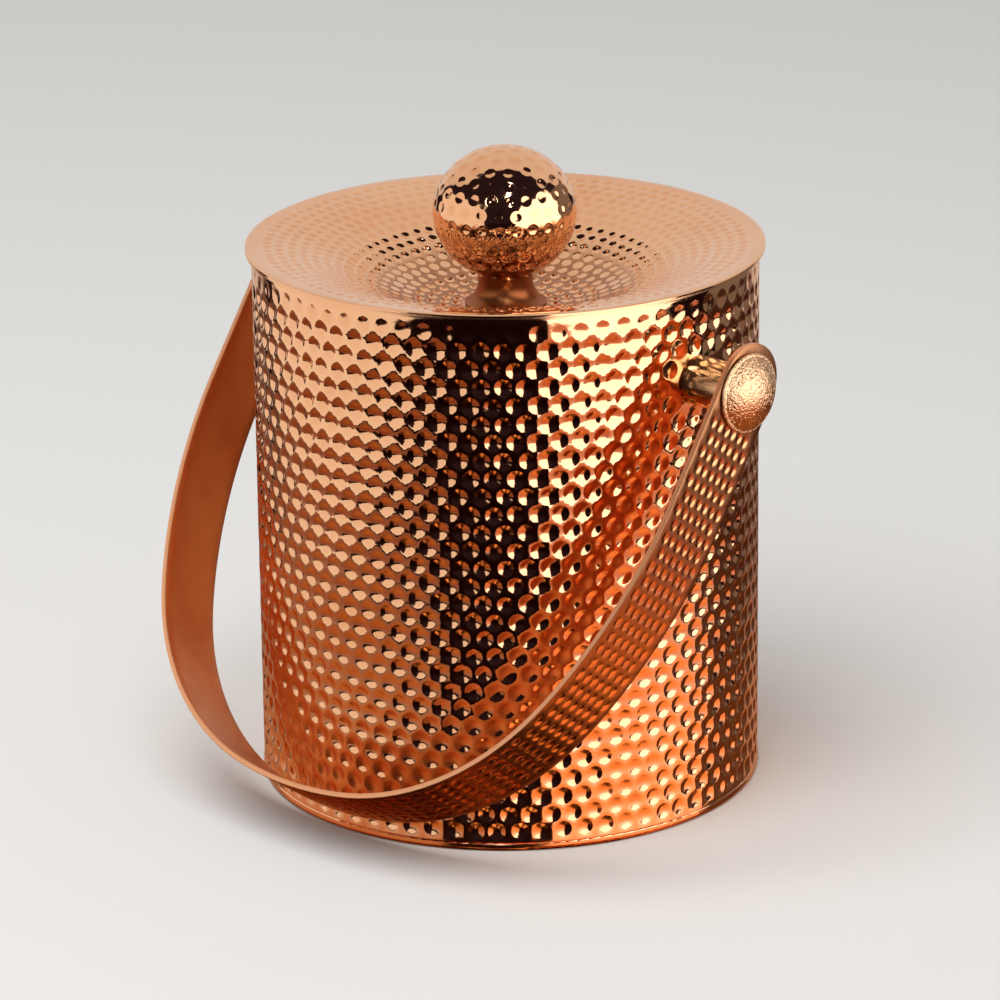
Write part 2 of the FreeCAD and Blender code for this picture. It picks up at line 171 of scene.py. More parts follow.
class Value:
    """One shader socket that takes part in arithmetic."""

    def __init__(self, nodes, socket):
        self.nodes = nodes
        self.socket = socket

    def __add__(self, other):
        return self.nodes.maths("ADD", self, other)

    def __sub__(self, other):
        return self.nodes.maths("SUBTRACT", self, other)

    def __rsub__(self, other):
        return self.nodes.maths("SUBTRACT", other, self)

    def __mul__(self, other):
        return self.nodes.maths("MULTIPLY", self, other)

    __radd__ = __add__
    __rmul__ = __mul__


class Nodes:
    """Adds nodes to one node tree."""

    def __init__(self, tree):
        self.tree = tree
        tree.nodes.clear()

    def add(self, kind, settings=None, inputs=None, output=0):
        """Makes one node, settings first, then the values or links of its inputs; gives one output."""
        node = self.tree.nodes.new(kind)
        for name, setting in (settings or {}).items():
            setattr(node, name, setting)
        for name, value in (inputs or {}).items():
            if isinstance(value, Value):
                self.tree.links.new(value.socket, node.inputs[name])
            else:
                node.inputs[name].default_value = value
        return Value(self, node.outputs[output]) if node.outputs else node

    def maths(self, operation, first, second):
        return self.add("ShaderNodeMath", {"operation": operation}, {0: first, 1: second})

    def blend(self, share, first, second):
        """First colour turning into the second as share goes from 0 to 1."""
        return self.add("ShaderNodeMix", {"data_type": "RGBA"}, {0: share, 6: first, 7: second}, 2)

    def object_coordinates(self, scale=(1, 1, 1)):
        place = self.add("ShaderNodeTexCoord", output="Object")
        return self.add("ShaderNodeMapping", inputs={"Vector": place, "Scale": scale})

    def grain(self, place, scale, detail=3.0):
        return self.add("ShaderNodeTexNoise", inputs={
            "Vector": place, "Scale": scale, "Detail": detail, "Roughness": 0.55})

    def height(self, place):
        return self.add("ShaderNodeVectorMath", {"operation": "DOT_PRODUCT"}, {0: place, 1: AXIS_Z}, "Value")

    def axis_distance(self, place):
        flat = self.add("ShaderNodeVectorMath", {"operation": "MULTIPLY"}, {0: place, 1: (1, 1, 0)})
        return self.add("ShaderNodeVectorMath", {"operation": "LENGTH"}, {0: flat}, "Value")

    def band(self, value, low, high):
        """0 below low, 1 above high, smooth between."""
        return self.add("ShaderNodeMapRange", {"interpolation_type": "SMOOTHSTEP"},
                        {"Value": value, "From Min": low, "From Max": high})

    def attribute(self, name):
        return self.add("ShaderNodeAttribute", {"attribute_name": name}, output="Fac")

    def bump(self, height, strength, distance, normal=None):
        inputs = {"Height": height, "Strength": strength, "Distance": distance}
        if normal:
            inputs["Normal"] = normal
        return self.add("ShaderNodeBump", inputs=inputs)


# Heights over which the painted reflections in the lid's hollow and under the knob's ball fade
LID_FADE = 2 * MM
RIM_FADE = 1 * MM
BALL_FADE = 10 * MM


def opaque(shade, strength=1.0):
    """A colour with its alpha, darkened or brightened by strength."""
    return (*[min(1.0, c * strength) for c in shade], 1.0)


def new_material(name):
    material = bpy.data.materials.new(name)
    material.use_nodes = True
    return material, Nodes(material.node_tree)


def finish_metal(material, nodes, base, roughness, normal, metallic=1.0):
    shader = nodes.add("ShaderNodeBsdfPrincipled", inputs={
        "Base Color": base, "Metallic": metallic, "Roughness": roughness, "Normal": normal})
    nodes.add("ShaderNodeOutputMaterial", inputs={"Surface": shader})
    return material


def polished_copper(name, bright, deep, hollow, roughness):
    """Mirror copper: toned in patches and bowls, with fine marks; painted reflection darkens the ball's
    underside and the lands in the lid's hollow.
    """
    material, nodes = new_material(name)
    place = nodes.object_coordinates()
    height = nodes.height(place)
    bowl = nodes.attribute("bowl")
    land = nodes.attribute("land")
    patches = nodes.band(nodes.grain(place, 22.0), 0.42, 0.72)
    toned = nodes.blend(0.45 * patches + 0.25 * bowl, opaque(bright), opaque(deep))
    # Painted reflection: the ball's lower part, above the lid, turns to a darker deep copper that stands in
    # for the dish it reflects.
    above_lid = nodes.band(height, LID_HIGH.z, LID_HIGH.z + LID_FADE)
    painted_reflection_under_ball = (1 - nodes.band(height, BALL_WIDEST.z - BALL_FADE, BALL_WIDEST.z)) * above_lid
    shaded = nodes.blend(0.8 * painted_reflection_under_ball, toned, opaque(deep, 0.8))
    rubbed = nodes.blend(0.35 * land, shaded, opaque(bright, 1.12))
    # Painted reflection: lands in the lid's hollow, below its rim, turn to the hollow colour, standing in
    # for the dark reflection there.
    in_hollow = (1 - nodes.band(nodes.axis_distance(place), 0.8 * DISH_STEEP_R, 1.1 * DISH_STEEP_R)) * land
    below_rim = 1 - nodes.band(height, LID_HIGH.z - RIM_FADE, LID_HIGH.z)
    tone_with_painted_reflections = nodes.blend(0.85 * in_hollow * below_rim, rubbed, opaque(hollow))
    smudge = nodes.band(nodes.grain(place, 60.0, 5.0), 0.5, 0.8)
    marks = nodes.grain(nodes.object_coordinates((1, 1, 14)), 420.0, 2.0)
    gloss = roughness + 0.06 * smudge + 0.02 * bowl + 0.03 * marks
    ripple = nodes.bump(nodes.grain(place, 260.0, 2.0), 0.16, 0.10 * MM)
    normal = nodes.bump(marks, 0.10, 0.02 * MM, ripple)
    return finish_metal(material, nodes, tone_with_painted_reflections, gloss, normal)


def satin_copper(name, bright, deep):
    """Satin strap copper: hammered outside, brushed along its length inside."""
    material, nodes = new_material(name)
    place = nodes.object_coordinates()
    patches = nodes.band(nodes.grain(place, 30.0, 4.0), 0.35, 0.7)
    hammered = nodes.attribute("hammered")
    land = nodes.attribute("land")
    edge = nodes.attribute("edge")
    toned = nodes.blend(0.7 * patches, opaque(bright), opaque(deep))
    # Painted reflection: the strap's lands are darkened, standing in for the dark reflection they show.
    lands_painted_dark = nodes.blend(0.9 * land, toned, opaque([0.46 * c + 0.02 for c in bright]))
    # Painted highlight: the strap's bowls and its edges are brightened past its copper.
    painted_highlight = opaque([min(1.0, c * 1.1 + 0.1) for c in bright])
    tone_with_painted_reflections = nodes.blend(edge, nodes.blend(0.6 * nodes.attribute("bowl"), lands_painted_dark, painted_highlight), painted_highlight)
    streaks = nodes.grain(nodes.object_coordinates((260, 14, 14)), 5.0, 4.0)
    gloss = 0.34 - 0.24 * hammered + 0.16 * land + 0.16 * edge + 0.08 * streaks
    soft = nodes.bump(streaks, 0.22, 0.05 * MM)
    normal = nodes.bump(nodes.grain(place, 900.0, 3.0), 0.12, 0.05 * MM, soft)
    return finish_metal(material, nodes, tone_with_painted_reflections, gloss, normal)


def crinkled_copper(name, bright, deep):
    """Pale foil-like copper of the caps, with painted shade darkening its creases."""
    material, nodes = new_material(name)
    place = nodes.object_coordinates()
    crease = nodes.attribute("bowl")
    patches = nodes.band(nodes.grain(place, 90.0), 0.4, 0.7)
    # Painted shade: creases are darkened towards the deep copper, as if shade fell in them; patches add a
    # random tone.
    toned = nodes.blend(0.6 * crease + 0.2 * patches, opaque(bright), opaque(deep))
    gloss = 0.16 + 0.10 * patches
    normal = nodes.bump(nodes.grain(place, 1700.0, 4.0), 1.0, 0.25 * MM)
    return finish_metal(material, nodes, toned, gloss, normal)


def polished_brass(name, bright):
    material, nodes = new_material(name)
    place = nodes.object_coordinates()
    patches = nodes.band(nodes.grain(place, 120.0), 0.4, 0.75)
    toned = nodes.blend(0.3 * patches, opaque(bright), opaque(bright, 0.8))
    turned = nodes.grain(nodes.object_coordinates((40, 1, 1)), 90.0, 2.0)
    gloss = 0.15 + 0.05 * patches + 0.03 * turned
    return finish_metal(material, nodes, toned, gloss, nodes.bump(turned, 0.04, 0.004 * MM))


# Steel's rolled copper edge fades in between these distances from the lid's axis
ROLLED_FROM = LID_R - 1.2 * MM
ROLLED_TO = LID_R - 1.0 * MM


def brushed(nodes, bright, stretch):
    """Brush lines, patches and their tone; stretch is the fineness of the lines along X, Y and Z."""
    lines = nodes.grain(nodes.object_coordinates(stretch), 10.0, 5.0)
    patches = nodes.band(nodes.grain(nodes.object_coordinates(), 18.0), 0.35, 0.75)
    return lines, patches, nodes.blend(0.5 * lines + 0.3 * patches, opaque(bright), opaque(bright, 0.72))


def brushed_steel(name, bright, stretch):
    """Steel of the screws, pins and plates."""
    material, nodes = new_material(name)
    lines, patches, shade = brushed(nodes, bright, stretch)
    gloss = 0.22 + 0.16 * lines + 0.06 * patches
    return finish_metal(material, nodes, shade, gloss, nodes.bump(lines, 0.3, 0.04 * MM))


def edged_steel(name, bright, rolled):
    """Brushed steel of the liner and the lid's underside, with copper rolled over its outer edge."""
    material, nodes = new_material(name)
    lines, patches, shade = brushed(nodes, bright, (3, 3, 260))
    edge = nodes.band(nodes.axis_distance(nodes.object_coordinates()), ROLLED_FROM, ROLLED_TO)
    tone = nodes.blend(edge, shade, opaque(rolled))
    gloss = 0.30 + 0.16 * lines + 0.06 * patches - 0.20 * edge
    return finish_metal(material, nodes, tone, gloss, nodes.bump(lines, 0.3, 0.04 * MM))


def moulded_plastic(name, bright):
    material, nodes = new_material(name)
    place = nodes.object_coordinates()
    mottle = nodes.grain(place, 140.0, 4.0)
    shade = nodes.blend(0.4 * mottle, opaque(bright), opaque(bright, 0.85))
    normal = nodes.bump(nodes.grain(place, 3000.0), 0.2, 0.03 * MM)
    return finish_metal(material, nodes, shade, 0.45 + 0.2 * mottle, normal, metallic=0.0)


# Surfaces that bowls are sunk into

class Wall:
    """Upright cylinder round the bucket's axis."""

    def seat(self, point):
        out = self.outward(point) * WALL_R
        return Vector((out.x, out.y, point.z))

    def outward(self, point):
        return Vector((point.x, point.y, 0)).normalized()


class Ball:
    """The knob's ball, a little flatter than it is wide."""

    height = BALL_TOP.z - BALL_WIDEST.z
    flatness = height / BALL_R
    centre = Vector((0, 0, BALL_WIDEST.z))

    def seat(self, point):
        side = point - self.centre
        side.z /= self.flatness
        side = side.normalized() * BALL_R
        side.z *= self.flatness
        return self.centre + side

    def outward(self, point):
        side = point - self.centre
        side.z /= self.flatness ** 2
        return side.normalized()


class Dish:
    """The lid's shoulder arc, which steepens inwards, and the hollow arc that levels out."""

    def __init__(self):
        start = LID_R - LID_EDGE
        self.shoulder_r = (start - DISH_STEEP_R) / (math.sin(DISH_SLOPE) - math.sin(SHOULDER_SLOPE))
        self.hollow_r = (DISH_STEEP_R - DISH_FLAT_R) / math.sin(DISH_SLOPE)
        self.shoulder_x = start + self.shoulder_r * math.sin(SHOULDER_SLOPE)
        self.shoulder_z = LID_HIGH.z - self.shoulder_r * math.cos(SHOULDER_SLOPE)
        steep_z = self.shoulder_z + self.shoulder_r * math.cos(DISH_SLOPE)
        self.hollow_z = steep_z + self.hollow_r * math.cos(DISH_SLOPE)

    def slope(self, radius):
        if radius > DISH_STEEP_R:
            return math.asin((self.shoulder_x - radius) / self.shoulder_r)
        return math.asin(max(0.0, radius - DISH_FLAT_R) / self.hollow_r)

    def height(self, radius):
        if radius > DISH_STEEP_R:
            return self.shoulder_z + self.shoulder_r * math.cos(self.slope(radius))
        return self.hollow_z - self.hollow_r * math.cos(self.slope(radius))

    def seat(self, point):
        return Vector((point.x, point.y, self.height(math.hypot(point.x, point.y))))

    def outward(self, point):
        radius = math.hypot(point.x, point.y)
        slope = self.slope(radius)
        across = -math.sin(slope) / radius
        return Vector((point.x * across, point.y * across, math.cos(slope)))


class Flat:
    """The strap's outer face before the strap is bent."""

    def seat(self, point):
        return Vector((point.x, point.y, 0))

    def outward(self, point):
        return AXIS_Z.copy()


# Mesh making

def add_ring(bm, radius, height, count, turn):
    place = Matrix.Translation((0, 0, height)) @ Matrix.Rotation(turn, 4, "Z")
    return bmesh.ops.create_circle(bm, cap_ends=False, segments=count, radius=radius, matrix=place)["verts"]


RING_STEP = 1 * MM            # height of each ring over the last while they are joined


def join_rings(bm, rings, closed):
    """Skins a chain of rings, each (radius, height, count, turn), with triangles; gives each ring's points.

    The rings are joined while each lies a step above the last, because rings in one plane join twisted.
    """
    points = [add_ring(bm, radius, step * RING_STEP, count, turn)
              for step, (radius, _, count, turn) in enumerate(rings)]
    loops = [list({edge for point in ring for edge in point.link_edges}) for ring in points]
    if closed:
        loops.append(loops[0])
    for low, high in zip(loops, loops[1:]):
        bmesh.ops.bridge_loops(bm, edges=low + high)
    for step, (ring, (_, height, _, _)) in enumerate(zip(points, rings)):
        bmesh.ops.translate(bm, vec=(0, 0, height - step * RING_STEP), verts=ring)
    bmesh.ops.triangulate(bm, faces=bm.faces[:], quad_method="SHORT_EDGE")
    bmesh.ops.recalc_face_normals(bm, faces=bm.faces[:])
    return points


BOWL_RINGS = ((0.86, 0.18), (0.5, 0.72))   # rings inside a bowl: shares of its radius and of its depth
LAND_SHARE = (0.16, 0.46)     # how much of the gap to its nearest neighbour a bowl takes
DEPTH_SHARE = (0.82, 1.12)    # how much of the full depth a bowl takes
FIRST_INSET = 0.1             # width of a new ring over the bowl's radius, before it is moved into place


def hammer(bm, points, surface, bowl, depth, jitter, relief, rng):
    """Sinks a round bowl at each of the points of a lattice of triangles; relief makes the rims uneven."""
    for point in points:
        shift = Vector([rng.uniform(-jitter, jitter) for _ in range(3)])
        point.co = surface.seat(point.co + shift)
    faces = bmesh.ops.bevel(bm, geom=points, offset=bowl, offset_type="OFFSET", segments=1, profile=0.5,
                            affect="VERTICES", clamp_overlap=False, material=-1)["faces"]
    bowl_depth = bm.verts.layers.float["bowl"]
    land = bm.verts.layers.float["land"]
    bowls = []
    for face in faces:
        own = set(face.edges)
        gap = min(edge.calc_length() for v in face.verts for edge in v.link_edges if edge not in own)
        centre = surface.seat(face.calc_center_median())
        out = surface.outward(centre)
        radius = bowl + gap * rng.uniform(*LAND_SHARE)
        bowls.append((face, centre, out, radius, depth * rng.uniform(*DEPTH_SHARE), rng.uniform(0, relief)))
    for edge in {edge for face in faces for edge in face.edges}:
        bmesh.utils.edge_split(edge, edge.verts[0], 0.5)
    for face, centre, out, radius, _, lower in bowls:
        for v in face.verts:
            v.co = surface.seat(centre + (v.co - centre).normalized() * radius) - out * lower
            v[land] = 1.0
    for share, depth_share in BOWL_RINGS:
        bmesh.ops.inset_individual(bm, faces=faces, thickness=bowl * FIRST_INSET, use_even_offset=False)
        for face, centre, out, radius, sunk, lower in bowls:
            for v in face.verts:
                side = v.co - centre
                side = (side - out * side.dot(out)).normalized()
                v.co = centre + side * radius * share - out * (lower + sunk * depth_share)
                v[bowl_depth] = depth_share
                v[land] = 0.0
    bm.normal_update()
    middle = bmesh.ops.poke(bm, faces=faces, offset=-depth * (1 - BOWL_RINGS[-1][1]))
    for v in middle["verts"]:
        v[bowl_depth] = 1.0


def new_mesh(*layers):
    bm = bmesh.new()
    for name in layers:
        bm.verts.layers.float.new(name)
    return bm


CORNER = math.radians(38)     # edges that turn more than this stay sharp


def make_piece(bm, name, body, slot):
    """Finishes a mesh as a smooth-shaded piece that rides on a body."""
    for face in bm.faces:
        face.smooth = True
    for edge in bm.edges:
        if edge.is_manifold and edge.calc_face_angle() > CORNER:
            edge.smooth = False
    mesh = bpy.data.meshes.new(name)
    bm.to_mesh(mesh)
    bm.free()
    piece = bpy.data.objects.new(name, mesh)
    bpy.context.scene.collection.objects.link(piece)
    mesh.materials.append(FINISH[slot])
    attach(piece, body)
    return piece


class BUCKET_OT_wall(Operator):
    """Hammered outer wall of the bucket"""

    bl_idname = "bucket.wall"
    bl_label = "Hammered Wall"

    first_row = 3.9 * MM      # lowest row of bowls above the wall's lower edge
    last_row = 4.3 * MM       # highest row below its upper edge
    pad = 3.8 * MM            # from a spacer's side to the middle of the nearest bowl
    faint_depth = 0.34        # share of the full depth in the row under the lid
    jitter = 0.42 * MM
    relief = 0.16 * MM

    def execute(self, context):
        sizes = context.scene.bucket_sizes
        rng = random.Random(5)
        count = round(2 * HALF_TURN * WALL_R / sizes.wall_pitch)
        span = WALL_HIGH.z - WALL_LOW.z - self.first_row - self.last_row
        rows = round(span / sizes.wall_row)
        rings = [(WALL_R, WALL_LOW.z, count, 0)]
        for row in range(rows + 1):
            height = WALL_LOW.z + self.first_row + span * row / rows
            rings.append((WALL_R, height, count, HALF_TURN / count * (row % 2 + 1)))
        rings.append((WALL_R, WALL_HIGH.z, count, 0))
        rings.append((WALL_R - WALL_T, WALL_HIGH.z, count, 0))
        rings.append((WALL_R - WALL_T, WALL_LOW.z, count, 0))
        bm = new_mesh("bowl", "land")
        points = join_rings(bm, rings, closed=True)
        spacers = [Vector((side * WALL_R, 0, PIVOT.z)) for side in (1, -1)]
        keep = [[v for v in ring if min((v.co - s).length for s in spacers) > SPACER_R + self.pad]
                for ring in points[1:rows + 2]]
        full = [v for ring in keep[:-1] for v in ring]
        faint = sizes.wall_depth * self.faint_depth
        hammer(bm, full, Wall(), sizes.wall_bowl, sizes.wall_depth, self.jitter, self.relief, rng)
        hammer(bm, keep[-1], Wall(), sizes.wall_bowl, faint, self.jitter, 0, rng)
        piece = make_piece(bm, "hammered_wall", "bucket", "hammered_copper")
        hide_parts("outer_shell")
        return {"FINISHED"}


class BUCKET_OT_lid(Operator):
    """Hammered dish of the lid"""

    bl_idname = "bucket.lid"
    bl_label = "Hammered Lid"

    first_ring = 2.8 * MM     # innermost ring of bowls beyond the flat centre
    band = 4.9 * MM           # smooth band inside the rim
    plain_count = 128         # points in a ring without bowls
    plain_rings = (3.3 * MM, 2 * MM)          # rings of the smooth band, inwards from the rim
    under_rings = (66 * MM, DISH_STEEP_R, 30 * MM, 20 * MM, DISH_FLAT_R, STUD_R)
    rounding = 0.25 * MM      # rounding of the rim
    jitter = 0.25 * MM
    relief = 0.06 * MM
    deepening = 8 * MM        # how far outside the steepest circle the bowls are still deep

    def execute(self, context):
        sizes = context.scene.bucket_sizes
        rng = random.Random(11)
        dish = Dish()
        pitch = sizes.lid_pitch
        row_gap = pitch * math.sqrt(0.75)
        hammered = []
        radius = DISH_FLAT_R + self.first_ring
        while radius < LID_R - self.band:
            count = round(2 * HALF_TURN * radius / pitch)
            hammered.append((radius, dish.height(radius), count, rng.uniform(0, HALF_TURN)))
            radius += row_gap * math.cos(dish.slope(radius))
        inner_count = hammered[0][2]
        rings = [(r, dish.height(r), inner_count, 0) for r in (STUD_R, DISH_FLAT_R)]
        rings += hammered
        for inset in (*self.plain_rings, LID_EDGE):
            rings.append((LID_R - inset, dish.height(LID_R - inset), self.plain_count, 0))
        rings += [(LID_R - self.rounding, LID_HIGH.z - self.rounding / 3, self.plain_count, 0),
                  (LID_R, LID_HIGH.z - self.rounding, self.plain_count, 0),
                  (LID_R, LID_HIGH.z - LID_T, self.plain_count, 0)]
        for r in (LID_R - LID_EDGE, *self.under_rings):
            rings.append((r, dish.height(r) - LID_T / math.cos(dish.slope(r)), self.plain_count // 2, 0))
        bm = new_mesh("bowl", "land")
        points = join_rings(bm, rings, closed=True)
        lattice = points[2:2 + len(hammered)]
        inner = sum(radius < DISH_STEEP_R + self.deepening for radius, *_ in hammered)
        for rows, depth in ((lattice[:inner], sizes.lid_inner_depth), (lattice[inner:], sizes.lid_depth)):
            spots = [v for ring in rows for v in ring]
            hammer(bm, spots, dish, sizes.lid_bowl, depth, self.jitter, self.relief, rng)
        piece = make_piece(bm, "hammered_lid", "lid", "hammered_copper")
        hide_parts("lid_dish")
        return {"FINISHED"}


class BUCKET_OT_knob(Operator):
    """Hammered ball of the knob"""

    bl_idname = "bucket.knob"
    bl_label = "Hammered Knob"

    lowest = math.radians(-66)    # latitude where the ball meets its neck
    tuck = 0.4 * MM               # how far the ball reaches down over the neck
    row_share = math.sqrt(0.8)    # gap between rows of bowls over the gap along a row
    fewest = 6                    # bowls in the topmost ring
    jitter = 0.3 * MM
    relief = 0.06 * MM

    def execute(self, context):
        sizes = context.scene.bucket_sizes
        rng = random.Random(23)
        ball = Ball()
        row_turn = sizes.ball_pitch * self.row_share / BALL_R
        rows = round((HALF_TURN / 2 - self.lowest) / row_turn)
        rings = []
        for row in range(rows):
            latitude = self.lowest + (HALF_TURN / 2 - self.lowest) * row / rows
            radius = BALL_R * math.cos(latitude)
            count = max(self.fewest, round(2 * HALF_TURN * radius / sizes.ball_pitch))
            level = ball.centre.z + ball.height * math.sin(latitude)
            rings.append((radius, level, count, rng.uniform(0, 1)))
        rings.insert(0, (rings[0][0], NECK_TOP - self.tuck, rings[0][2], rings[0][3]))
        bm = new_mesh("bowl", "land")
        points = join_rings(bm, rings, closed=False)
        ends = [edge for edge in bm.edges if edge.is_boundary]
        caps = bmesh.ops.edgeloop_fill(bm, edges=ends)["faces"]
        top = max(caps, key=lambda face: face.calc_center_median().z)
        pole = bmesh.ops.poke(bm, faces=[top])["verts"]
        bmesh.ops.recalc_face_normals(bm, faces=bm.faces[:])
        lattice = [v for ring in points[2:] for v in ring] + pole
        hammer(bm, lattice, ball, sizes.ball_bowl, sizes.ball_depth, self.jitter, self.relief, rng)
        piece = make_piece(bm, "hammered_knob", "lid", "hammered_copper")
        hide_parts("knob_upper", "knob_lower")
        return {"FINISHED"}


class StrapLine:
    """Outer face of one half of the strap, from the crown to the end of its leg: arcs and a straight run."""

    def __init__(self):
        turned = CROWN_TURN + CORNER_TURN
        corner_x = (CROWN_R - CORNER_R) * math.sin(CROWN_TURN)
        reach = STRAP_HALF - corner_x - CORNER_R * math.sin(turned)
        leg_r = reach / (1 - math.sin(turned))
        self.runs = [(CROWN_R, CROWN_TURN), (CORNER_R, CORNER_TURN), (leg_r, HALF_TURN / 2 - turned)]
        bent = sum(radius * turn for radius, turn in self.runs)
        self.pivot_at = bent + PIVOT.z - self.walk(bent)[0].z

    def walk(self, distance):
        """Point on the outer face at a distance from the crown, and the direction out of the face there."""
        point = Vector((0, 0, PIVOT.z - STRAP_REACH))
        heading = 0.0
        for radius, turn in self.runs:
            part = min(turn, distance / radius)
            middle = point + Vector((-math.sin(heading), 0, math.cos(heading))) * radius
            heading += part
            point = middle + Vector((math.sin(heading), 0, -math.cos(heading))) * radius
            distance -= part * radius
            if distance <= 0:
                break
        point += Vector((math.cos(heading), 0, math.sin(heading))) * distance
        return point, Vector((math.sin(heading), 0, -math.cos(heading)))

    def bend(self, flat):
        """Where a point of the flat strap goes: its Y is the distance along the strap from the crown."""
        point, out = self.walk(abs(flat.y))
        bent = point + out * flat.z
        return Vector((math.copysign(bent.x, flat.y), flat.x, bent.z))


class BUCKET_OT_strap(Operator):
    """Hammered strap of the handle"""

    bl_idname = "bucket.strap"
    bl_label = "Hammered Strap"

    across = 6                # bowls in a row
    stagger = 0.14            # shift of every second row, as a share of the pitch
    stretch = 1.28            # length of a bowl over its width
    clear = 12 * MM           # plain strap below each pivot
    rounding = 0.3 * MM       # rounding of the strap's edges
    jitter = 0.2 * MM
    relief = 0.05 * MM

    def execute(self, context):
        sizes = context.scene.bucket_sizes
        rng = random.Random(31)
        line = StrapLine()
        round_r = STRAP_W / 2
        tab = line.pivot_at + TAB_OFFSET
        end = tab + round_r
        rows = 2 * round(end / sizes.strap_row)
        bm = new_mesh("bowl", "land", "hammered", "edge")
        faces = []
        for depth in (0, -STRAP_T):
            grid = bmesh.ops.create_grid(bm, x_segments=self.across + 1, y_segments=rows, size=1)["verts"]
            self.shape(grid, rows, end, tab, round_r, sizes.strap_pitch, depth)
            self.round_ends(bm, grid, tab, round_r)
            faces.append({face for v in grid for face in v.link_faces})
        edges = [edge for edge in bm.edges if edge.is_boundary]
        bmesh.ops.bridge_loops(bm, edges=edges)
        bmesh.ops.recalc_face_normals(bm, faces=bm.faces[:])
        corners = [edge for edge in bm.edges
                   if len({face in faces[0] or face in faces[1] for face in edge.link_faces}) == 2]
        outside = [v for v in bm.verts if all(face in faces[0] for face in v.link_faces)
                   and abs(v.co.y) < line.pivot_at - self.clear]
        hammered = bm.verts.layers.float["hammered"]
        land = bm.verts.layers.float["land"]
        for v in bm.verts:
            v[hammered] = v[land] = float(v.co.z > -STRAP_T / 2)
        bmesh.ops.triangulate(bm, faces=list(faces[0]), quad_method="SHORT_EDGE")
        bmesh.ops.scale(bm, vec=(1, 1 / self.stretch, 1), verts=bm.verts[:])
        hammer(bm, outside, Flat(), sizes.strap_bowl, sizes.strap_depth, self.jitter, self.relief, rng)
        bmesh.ops.scale(bm, vec=(1, self.stretch, 1), verts=bm.verts[:])
        corners = [edge for edge in corners if edge.is_valid]
        bmesh.ops.bevel(bm, geom=corners, offset=self.rounding, offset_type="OFFSET", segments=2,
                        profile=0.5, affect="EDGES", clamp_overlap=True, material=-1)
        self.mark_edge(bm, tab, round_r)
        for v in bm.verts:
            v.co = line.bend(v.co)
        bmesh.ops.rotate(bm, verts=bm.verts[:], cent=PIVOT, matrix=Matrix.Rotation(-HANG, 4, "X"))
        bmesh.ops.recalc_face_normals(bm, faces=bm.faces[:])
        piece = make_piece(bm, "hammered_strap", "handle", "strap_copper")
        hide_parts("handle_strap")
        return {"FINISHED"}

    def mark_edge(self, bm, tab, round_r):
        """Marks the points between the two faces, which get a painted highlight."""
        edge = bm.verts.layers.float["edge"]
        skin = self.rounding * 0.9
        for v in bm.verts:
            if skin < -v.co.z < STRAP_T - skin:
                side = math.hypot(v.co.x, max(0.0, abs(v.co.y) - tab))
                v[edge] = float(side > round_r - self.rounding)

    def shape(self, grid, rows, end, tab, round_r, pitch, depth):
        """Spaces one sheet's points: staggered rows of columns, and round ends."""
        for v in grid:
            column = round((v.co.x + 1) / 2 * (self.across + 1))
            row = round((v.co.y + 1) / 2 * rows)
            along = end * (2 * row / rows - 1)
            if column in (0, self.across + 1):
                across = math.copysign(round_r, v.co.x)
            else:
                stagger = pitch * self.stagger * (1 if row % 2 else -1)
                across = (column - (self.across + 1) / 2) * pitch + stagger
            beyond = (abs(along) - tab) / round_r
            if beyond > 0:
                side = across / round_r
                along = math.copysign(tab + beyond * math.sqrt(1 - side * side / 2) * round_r, along)
                across *= math.sqrt(1 - beyond * beyond / 2)
            v.co = Vector((across, along, depth))

    def round_ends(self, bm, grid, tab, round_r):
        """Halves the outline's edges round both ends and seats the new points on the circle."""
        outline = [edge for edge in {edge for v in grid for edge in v.link_edges}
                   if edge.is_boundary and min(abs(v.co.y) for v in edge.verts) > tab]
        for edge in outline:
            v = bmesh.utils.edge_split(edge, edge.verts[0], 0.5)[1]
            middle = Vector((0, math.copysign(tab, v.co.y), v.co.z))
            v.co = middle + (v.co - middle).normalized() * round_r


